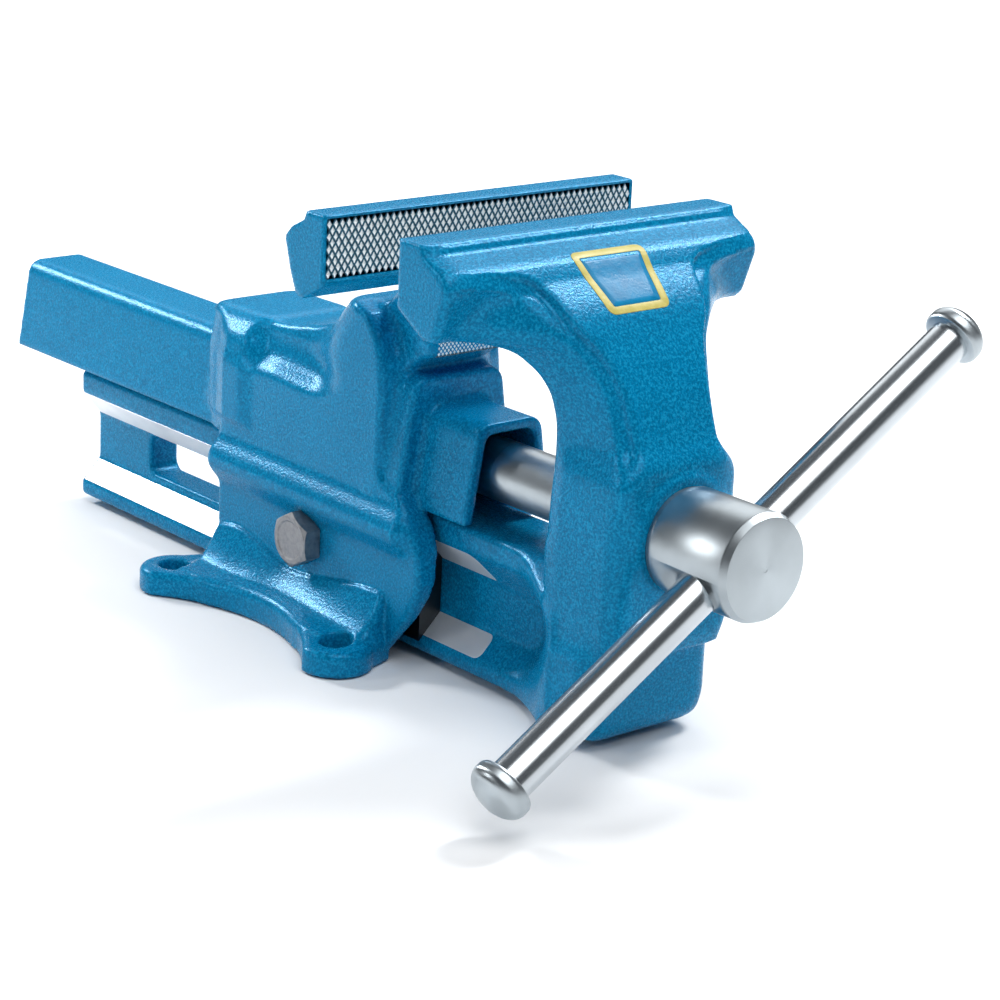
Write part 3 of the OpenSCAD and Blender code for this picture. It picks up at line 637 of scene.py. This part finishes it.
ground = ground_steel("ground_steel")
low_in, low_out, high_in, high_out = (5.8, 14.9), (13.0, 7.65), (5.8, 31.8), (13.0, 40.5)
for hand, word in ((-1, "left"), (1, "right")):
    low = ground_strip(f"slide_face_low_{word}", low_in, low_out, (-80.5, -80.5),
                       (3.2, 3.2, 0.5, 0.5), hand)
    high = ground_strip(f"slide_face_high_{word}", high_in, high_out, (-80.5, -76.0),
                        (1.0, 5.5, 0.5, 0.5), hand)
    for strip in (low, high):
        strip.data.materials.append(ground)
        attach(strip, "slider")


# ---------------------------------------------------------------- label
# A printed film label stuck to the sloping face: a yellow frame with round
# corners and a plain blue field.
label_low, label_high = corners_of("label_plate")
label_mid = (label_low + label_high) / 2
lean = math.atan2(22.3, 23.4)       # the rise and run of the face under it
label_up = np.array([0, math.cos(lean), math.sin(lean)])
label_out = np.array([0, -math.sin(lean), math.cos(lean)])


def on_face(u, v, lift):
    """A label point laid on the forging's own surface."""
    at = label_mid + np.outer(u, (1, 0, 0)) + np.outer(v, label_up)
    for _ in range(8):
        f = moving_forging(*at.T)
        at = at - np.outer(f, label_out) * 0.9
    return at + np.outer(np.broadcast_to(lift, np.shape(u)), label_out)


def film(rings):
    """A closed skin through rings of label points, each (corner shift, lift), outermost first."""
    places, n = [], 0
    for shift, lift in rings:
        half, foot, tall = 14.2 - shift, 11.5 - shift, 11.25 - shift
        corners = [(-half, tall), (half, tall), (foot, -tall), (-foot, -tall)]
        loop = rounded(corners, [max(3.0 - shift, 0.8)] * 4, 10)
        fine_loop = []
        for k, a in enumerate(loop):
            b = loop[(k + 1) % len(loop)]
            parts = 8 if k % 11 == 10 else 1
            fine_loop += [a.lerp(b, i / parts) for i in range(parts)]
        n = len(fine_loop)
        points = np.array([(p.x, p.y) for p in fine_loop])
        places.append(on_face(points[:, 0], points[:, 1], lift))
    faces = []
    for ring in range(len(rings) - 1):
        for k in range(n):
            m = (k + 1) % n
            faces.append((ring * n + k, ring * n + m, (ring + 1) * n + m, (ring + 1) * n + k))
    return places, faces, n


def label_print(name, stops):
    """Printing ink under a clear film."""
    material, nodes, links, shader = new_material(name)
    where = place_on(nodes, links, (1, 1, 1))
    links.new(ramp(nodes, links, noise(nodes, links, where, 260, 3), stops), shader.inputs["Base Color"])
    gloss = noise(nodes, links, where, 120)
    links.new(ramp(nodes, links, gloss, [(0.3, grey(0.30)), (0.7, grey(0.45))]), shader.inputs["Roughness"])
    shader.inputs["Specular IOR Level"].default_value = 0.20
    bump(nodes, links, shader, noise(nodes, links, where, 1150), 0.3, 0.0002)
    return material


rings, faces, n = film([(0, -0.25), (0, 0.10), (0.15, 0.14), (2.35, 0.14), (2.5, 0.10), (2.5, -0.25)])
count = len(rings)
faces += [((count - 1) * n + k, (count - 1) * n + (k + 1) % n, (k + 1) % n, k) for k in range(n)]
label_frame = mesh_piece("label_frame", np.concatenate(rings) * MM, faces)
yellow = label_print("yellow_print", [(0.35, (0.50, 0.43, 0.10)), (0.65, (0.60, 0.52, 0.16))])
label_frame.data.materials.append(yellow)
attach(label_frame, "slider")
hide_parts("label_plate")

rings, faces, n = film([(2.3, -0.2), (2.4, 0.05), (4.5, 0.07), (7.0, 0.07), (9.4, 0.07)])
places = np.concatenate(rings)
middle = on_face(np.array([0.0]), np.array([0.0]), 0.07)
under = on_face(np.array([0.0]), np.array([0.0]), -0.2)
places = np.concatenate([places, middle, under])
last = (len(rings) - 1) * n
faces += [(last + k, last + (k + 1) % n, len(places) - 2) for k in range(n)]
faces += [((k + 1) % n, k, len(places) - 1) for k in range(n)]
label_field = mesh_piece("label_field", places * MM, faces)
blue = label_print("blue_print", [(0.35, (0.002, 0.19, 0.40)), (0.65, (0.005, 0.24, 0.48))])
label_field.data.materials.append(blue)
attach(label_field, "slider")


# ---------------------------------------------------------------- spindle
# One turned steel bar: a stout head with a cross hole, a smooth shaft that runs
# in the boss, and a trapezoidal thread that works in the nut.
screw_low, screw_high = corners_of("spindle")
head_r = screw_high[0]
head_rear = corners_of("thrust_washer")[0][1]
knob_a = sum(corners_of("knob_lower")) / 2
knob_b = sum(corners_of("knob_upper")) / 2
bar_way = Vector(knob_b - knob_a).normalized()
cross_at = Vector((0, (knob_a[1] + knob_b[1]) / 2, axis_z))
bar_r, bar_play = 6.4, 0.06


def turned(name, profile, at, axis, segments=96):
    """A profile of (radius, place along the axis) points turned about an axis."""
    places, faces = [], []
    z = Vector(axis).normalized()
    x = (Vector((0, 0, 1)) if abs(z.z) < 0.9 else Vector((1, 0, 0))).cross(z).normalized()
    frame_of = Matrix((x, z.cross(x), z)).transposed()
    rows = len(profile)
    for r, h in profile:
        for k in range(segments):
            a = 2 * math.pi * k / segments
            places.append((max(r, 0) * math.cos(a), max(r, 0) * math.sin(a), h))
    for i in range(rows - 1):
        for k in range(segments):
            m = (k + 1) % segments
            faces.append((i * segments + k, i * segments + m,
                          (i + 1) * segments + m, (i + 1) * segments + k))
    piece = mesh_piece(name, np.array(places) * MM, faces)
    tidy = bmesh.new()
    tidy.from_mesh(piece.data)
    bmesh.ops.remove_doubles(tidy, verts=tidy.verts, dist=1e-7)
    bmesh.ops.recalc_face_normals(tidy, faces=tidy.faces)
    for edge in tidy.edges:
        edge.smooth = len(edge.link_faces) < 2 or edge.calc_face_angle(0) < math.radians(32)
    tidy.to_mesh(piece.data)
    tidy.free()
    piece.matrix_world = Matrix.Translation(Vector(at) * MM) @ frame_of.to_4x4()
    return piece


def drill(piece, tool):
    """Cuts the tool out of a piece, then drops the tool."""
    bit = piece.modifiers.new("drill", "BOOLEAN")
    bit.operation, bit.object, bit.solver = "DIFFERENCE", tool, "EXACT"
    bpy.context.view_layer.update()
    done = bpy.data.meshes.new_from_object(piece.evaluated_get(bpy.context.evaluated_depsgraph_get()))
    piece.modifiers.clear()
    piece.data = done
    done.name = piece.name
    bpy.data.objects.remove(tool)


def turned_steel(name, across, along, tone):
    """Turned bright steel: fine rings round the piece's own Z axis."""
    material, nodes, links, shader = new_material(name)
    where = nodes.new("ShaderNodeTexCoord").outputs["Object"]
    split = nodes.new("ShaderNodeSeparateXYZ")
    links.new(where, split.inputs[0])
    flat = nodes.new("ShaderNodeCombineXYZ")
    links.new(split.outputs["X"], flat.inputs[0])
    links.new(split.outputs["Y"], flat.inputs[1])
    radius = nodes.new("ShaderNodeVectorMath")
    radius.operation = "LENGTH"
    links.new(flat.outputs[0], radius.inputs[0])
    ring = nodes.new("ShaderNodeCombineXYZ")
    links.new(radius.outputs["Value"], ring.inputs[0])
    links.new(split.outputs["Z"], ring.inputs[2])
    scale = nodes.new("ShaderNodeMapping")
    scale.inputs["Scale"].default_value = (across, 1, along)
    links.new(ring.outputs[0], scale.inputs["Vector"])
    ring_marks = noise(nodes, links, scale.outputs["Vector"], 1.0, 3, 0.65)
    cloud = noise(nodes, links, where, 60, 3)
    links.new(ramp(nodes, links, cloud, [(0.3, tuple(0.88 * c for c in tone)), (0.7, tone)]),
              shader.inputs["Base Color"])
    links.new(ramp(nodes, links, ring_marks, [(0.3, grey(0.27)), (0.7, grey(0.32))]),
              shader.inputs["Roughness"])
    shader.inputs["Metallic"].default_value = 1.0
    round_axis = nodes.new("ShaderNodeTangent")
    round_axis.direction_type = "RADIAL"
    round_axis.axis = "Z"
    links.new(round_axis.outputs[0], shader.inputs["Tangent"])
    shader.inputs["Anisotropic"].default_value = 0.8
    bump(nodes, links, shader, ring_marks, 0.03, 0.00002)
    return material


head_len = head_rear - screw_low[1]
head = turned("spindle_head", [(0, 0.1), (0.6, 0.1), (0.75, 0.0), (head_r - 1.3, 0.03),
                               (head_r - 1.1, 0.1), (head_r - 0.15, 2.15), (head_r, 2.5),
                               (head_r, head_len - 0.5), (head_r - 0.5, head_len), (0, head_len)],
              (0, screw_low[1], axis_z), (0, 1, 0), 128)
hole_r, reach = bar_r + bar_play, 24
bit = turned("cross_bit", [(0, -reach), (hole_r, -reach), (hole_r, reach), (0, reach)],
             cross_at, bar_way, 72)
drill(head, bit)
bright = turned_steel("turned_steel", 2400, 1500, (0.47, 0.52, 0.55))
head.data.materials.clear()
head.data.materials.append(bright)
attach(head, "screw")
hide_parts("spindle")

shaft_r, groove, thread_len, lead = 9.5, 1.6, 196, 4.0
thread_from, thread_to = screw_high[1] - thread_len, screw_high[1]
shaft = turned("spindle_shaft", [(0, head_rear - 2), (shaft_r, head_rear - 2), (shaft_r, thread_from - 4),
                                 (shaft_r - groove, thread_from - 3), (shaft_r - groove, thread_from + 0.5),
                                 (0, thread_from + 0.5)],
               (0, 0, axis_z), (0, 1, 0))
shaft.data.materials.append(bright)
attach(shaft, "screw")


def thread_form(share):
    """Depth of a trapezoidal thread at a share of its lead."""
    wave = np.abs((share % 1) - 0.5) * 4 - 1
    return 2.0 * np.clip(wave * 1.45 * 0.5 + 0.5, 0, 1)


segments, per_turn = 48, 16
stations = np.arange(thread_from, thread_to + 1e-6, lead / per_turn)
angle = np.arange(segments) * 2 * math.pi / segments
grid_y, grid_a = np.meshgrid(stations, angle, indexing="ij")
fade = np.clip((grid_y - thread_from) / 2, 0, 1) * np.clip((thread_to - grid_y) / 2, 0, 1)
radius = shaft_r - thread_form(grid_y / lead - grid_a / (2 * math.pi)) * fade - (1 - fade) * groove
places = np.stack([radius * np.cos(grid_a), grid_y, axis_z + radius * np.sin(grid_a)], -1)
faces = [(i * segments + k, (i + 1) * segments + k,
          (i + 1) * segments + (k + 1) % segments, i * segments + (k + 1) % segments)
         for i in range(len(stations) - 1) for k in range(segments)]
last = (len(stations) - 1) * segments
faces += [tuple(range(segments)), tuple(range(last, last + segments))[::-1]]
thread = mesh_piece("spindle_thread", places.reshape(-1, 3) * MM, faces)


def oiled_steel(name, tone):
    """Machined steel under a film of oil."""
    material, nodes, links, shader = new_material(name)
    where = place_on(nodes, links, (1, 1, 1))
    cloud = noise(nodes, links, where, 90, 4)
    links.new(ramp(nodes, links, cloud, [(0.3, tuple(0.7 * c for c in tone)), (0.7, tone)]),
              shader.inputs["Base Color"])
    marks = noise(nodes, links, place_on(nodes, links, (1800, 60, 1800)), 1.0)
    links.new(ramp(nodes, links, marks, [(0.3, grey(0.28)), (0.7, grey(0.46))]), shader.inputs["Roughness"])
    shader.inputs["Metallic"].default_value = 1.0
    bump(nodes, links, shader, marks, 0.3, 0.00005)
    return material


plain_steel = oiled_steel("plain_steel", (0.45, 0.46, 0.48))
thread.data.materials.append(plain_steel)
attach(thread, "screw")


# ---------------------------------------------------------------- screw's small parts and gib
# Thrust washer, disc springs, pinned collar, bronze bush and nut, which hold the screw,
# and the gib, painted near black as shade in its gap: turned or sawn, and kept as the drawing has them.
bronze = oiled_steel("machined_bronze", (0.62, 0.44, 0.20))
zinc = oiled_steel("zinc_plate", (0.34, 0.345, 0.36))
# near black: painted shade for the gib in its shadowed gap beside the rail
gib_painted_shade = oiled_steel("gib_painted_shade", (0.06, 0.065, 0.07))
for node, metal in (("thrust_washer", plain_steel), ("disc_springs", plain_steel),
                    ("retaining_collar", plain_steel), ("collar_pin", zinc),
                    ("spindle_bush", bronze), ("spindle_nut", bronze), ("guide_gib", gib_painted_shade)):
    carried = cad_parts[node]
    carried.data.materials.clear()
    carried.data.materials.append(metal)


# ---------------------------------------------------------------- nut pins
# Two hardened cross pins through the nut's roof, driven in from the right until
# they lie below the forging's skin; the holes over them are filled and painted.
pins_low, pins_high = corners_of("nut_pins")
pin_r, below_skin = (pins_high[2] - pins_low[2]) / 2, 5.0
pin_len = pins_high[0] - pins_low[0] - below_skin
for name, pin_y in (("nut_pin_front", pins_low[1] + pin_r), ("nut_pin_rear", pins_high[1] - pin_r)):
    pin = turned(name, [(0, 0), (pin_r - 0.5, 0), (pin_r, 0.5), (pin_r, pin_len - 0.5),
                        (pin_r - 0.5, pin_len), (0, pin_len)],
                 (pins_low[0], pin_y, pins_low[2] + pin_r), (1, 0, 0), 48)
    pin.data.materials.append(plain_steel)
    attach(pin, "fixed")
    if name == "nut_pin_front":
        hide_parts("nut_pins")


# ---------------------------------------------------------------- gib bolt
# The hex bolt that presses the gib on to the rail: M10, zinc plated, with the
# usual 30 degree chamfer and a shallow forged dish in its head.
bolt_low, bolt_high = corners_of("gib_bolt")
bolt_mid = (bolt_low + bolt_high) / 2
flats, bolt_head = 16.0, 6.4
steps = 96
seat = bolt_low[0] + bolt_head
places, faces = [], []
flat_r = flats / 2 * 0.955          # the flat left by the chamfer
chamfer, dish = 0.577, 0.35


def hex_r(a):
    return flats / 2 / math.cos((a % (math.pi / 3)) - math.pi / 6)


def bolt_rings(a):
    """Radius and height of each ring of the head, at one angle, from the seat out."""
    r = hex_r(a)
    return [(r - 0.3, 0.0), (r, 0.3), (r, bolt_head - (r - flat_r) * chamfer), (flat_r, bolt_head),
            (flat_r - 1.1, bolt_head), (flat_r - 1.7, bolt_head - dish), (0.01, bolt_head - dish)]


levels = len(bolt_rings(0))
for i in range(levels):
    for k in range(steps):
        a = 2 * math.pi * k / steps
        r, h = bolt_rings(a)[i]
        places.append((seat - h, bolt_mid[1] + r * math.sin(a), bolt_mid[2] + r * math.cos(a)))
for i in range(levels - 1):
    for k in range(steps):
        m = (k + 1) % steps
        faces.append((i * steps + k, i * steps + m, (i + 1) * steps + m, (i + 1) * steps + k))
faces.append(tuple(range(steps))[::-1])
faces.append(tuple(range((levels - 1) * steps, levels * steps)))
bolt = mesh_piece("gib_bolt_head", np.array(places) * MM, faces, smooth=False)
tidy = bmesh.new()
tidy.from_mesh(bolt.data)
bmesh.ops.recalc_face_normals(tidy, faces=tidy.faces)
tidy.to_mesh(bolt.data)
tidy.free()


def zinc_finish(name):
    """Dull zinc plate with a faint spangle."""
    material, nodes, links, shader = new_material(name)
    where = place_on(nodes, links, (1, 1, 1))
    spangle = noise(nodes, links, where, 620, 3, 0.6)
    links.new(ramp(nodes, links, spangle, [(0.3, (0.20, 0.205, 0.22)), (0.7, (0.34, 0.345, 0.36))]),
              shader.inputs["Base Color"])
    links.new(ramp(nodes, links, spangle, [(0.3, grey(0.40)), (0.7, grey(0.58))]),
              shader.inputs["Roughness"])
    shader.inputs["Metallic"].default_value = 0.85
    bump(nodes, links, shader, spangle, 0.25, 0.00012)
    return material


bolt.data.materials.append(zinc_finish("zinc_bolt"))
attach(bolt, "fixed")
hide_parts("gib_bolt")
stem_r, stem_len = 5, bolt_high[0] - seat
stem = turned("gib_bolt_stem", [(0, -0.5), (stem_r, -0.5), (stem_r, stem_len - 0.6),
                                (stem_r - 0.6, stem_len), (0, stem_len)],
              (seat, bolt_mid[1], bolt_mid[2]), (1, 0, 0), 48)
stem.data.materials.append(zinc)
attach(stem, "fixed")


# ---------------------------------------------------------------- handle
# A loose bar of bright drawn steel through the head, with a domed knob pressed
# on to each end so that it can't fall out.
knob_r = 9.2
span = (Vector(knob_b) - Vector(knob_a)).length
middle = (Vector(knob_a) + Vector(knob_b)) / 2
bar = turned("handle_bar_drawn", [(0, -span / 2), (bar_r, -span / 2), (bar_r, span / 2), (0, span / 2)],
             middle, bar_way)


def drawn_finish(name, tone):
    """Bright drawn steel: faint lines along the bar's own Z axis."""
    material, nodes, links, shader = new_material(name)
    draw_marks = noise(nodes, links, place_on(nodes, links, (1300, 1300, 9)), 1.0)
    cloud = noise(nodes, links, place_on(nodes, links, (1, 1, 1)), 60, 3)
    links.new(ramp(nodes, links, cloud, [(0.3, tuple(0.9 * c for c in tone)), (0.7, tone)]),
              shader.inputs["Base Color"])
    links.new(ramp(nodes, links, draw_marks, [(0.3, grey(0.20)), (0.7, grey(0.27))]),
              shader.inputs["Roughness"])
    shader.inputs["Metallic"].default_value = 1.0
    bump(nodes, links, shader, draw_marks, 0.06, 0.00003)
    return material


drawn = drawn_finish("drawn_steel", (0.56, 0.60, 0.63))
bar.data.materials.append(drawn)
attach(bar, "handle")
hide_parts("handle_bar")

dome_from, dome_tall = -1.3, 5.6
knob_profile = [(0, -4.15), (7.9, -4.15), (8.7, -3.85), (9.1, -3.2), (knob_r, -2.3)]
knob_profile += [(knob_r * math.cos(a), dome_from + dome_tall * math.sin(a))
                 for a in np.linspace(0, math.pi / 2, 24)]
for name, node, spot, way in (("knob_cap_upper", "knob_upper", knob_b, bar_way),
                              ("knob_cap_lower", "knob_lower", knob_a, -bar_way)):
    knob = turned(name, knob_profile, spot, way)
    knob.data.materials.append(bright)
    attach(knob, "handle")
    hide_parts(node)


# ---------------------------------------------------------------- bench and studio
# A pale bench top under the vise, the camera, and soft boxes above and beside it.
# None of them belongs to the object.
camera = bpy.data.objects.new("camera", bpy.data.cameras.new("camera"))
scene.collection.objects.link(camera)
camera.matrix_world = Matrix((
    (0.7616, 0.1593, -0.6282, -0.5480),
    (-0.6464, 0.2555, -0.7189, -0.6998),
    (0.0460, 0.9536, 0.2976, 0.3145),
    (0, 0, 0, 1)))
camera.data.lens = 103.24
camera.data.sensor_width = 36
scene.camera = camera

wide, under = 30, -0.0005
floor = mesh_piece("bench_top", [(-wide, -wide, under), (wide, -wide, under), (wide, wide, under),
                                 (-wide, wide, under)], [(0, 1, 2, 3)])
paper, nodes, links, shader = new_material("pale_paper")
shader.inputs["Base Color"].default_value = (0.90, 0.91, 0.92, 1)
shader.inputs["Roughness"].default_value = 0.9
shader.inputs["Specular IOR Level"].default_value = 0.1
floor.data.materials.append(paper)


def soft_box(name, place, aim, size, power):
    light = bpy.data.lights.new(name, "AREA")
    light.shape = "RECTANGLE"
    light.size, light.size_y = size
    light.energy = power
    lamp = bpy.data.objects.new(name, light)
    scene.collection.objects.link(lamp)
    lamp.location = place
    lamp.rotation_euler = (Vector(aim) - Vector(place)).to_track_quat("-Z", "Y").to_euler()
    lamp.visible_camera = False


soft_box("overhead_right", (0.85, -0.05, 1.18), (0, -0.08, 0.12), (0.24, 0.54), 14)
soft_box("back_left", (-0.33, 1.10, 0.70), (0, 0, 0.08), (0.24, 0.18), 10)
soft_box("left", (-1.20, 0.45, 0.60), (0, 0, 0.07), (0.22, 0.44), 2.5)
soft_box("backdrop", (1.5, 1.6, 1.5), (1.5, 1.6, 0), (2.4, 2.4), 30)

sun = bpy.data.objects.new("sky_light", bpy.data.lights.new("sky_light", "SUN"))
scene.collection.objects.link(sun)
sun.data.energy = 1.9
sun.data.angle = math.radians(50)
sun.rotation_euler = (math.radians(27), math.radians(-7), 0)

world = bpy.data.worlds.new("studio")
scene.world = world
world.use_nodes = True
world.node_tree.nodes["Background"].inputs[0].default_value = (0.86, 0.92, 1.0, 1)
world.node_tree.nodes["Background"].inputs[1].default_value = 0.11
scene.view_settings.view_transform = "Standard"
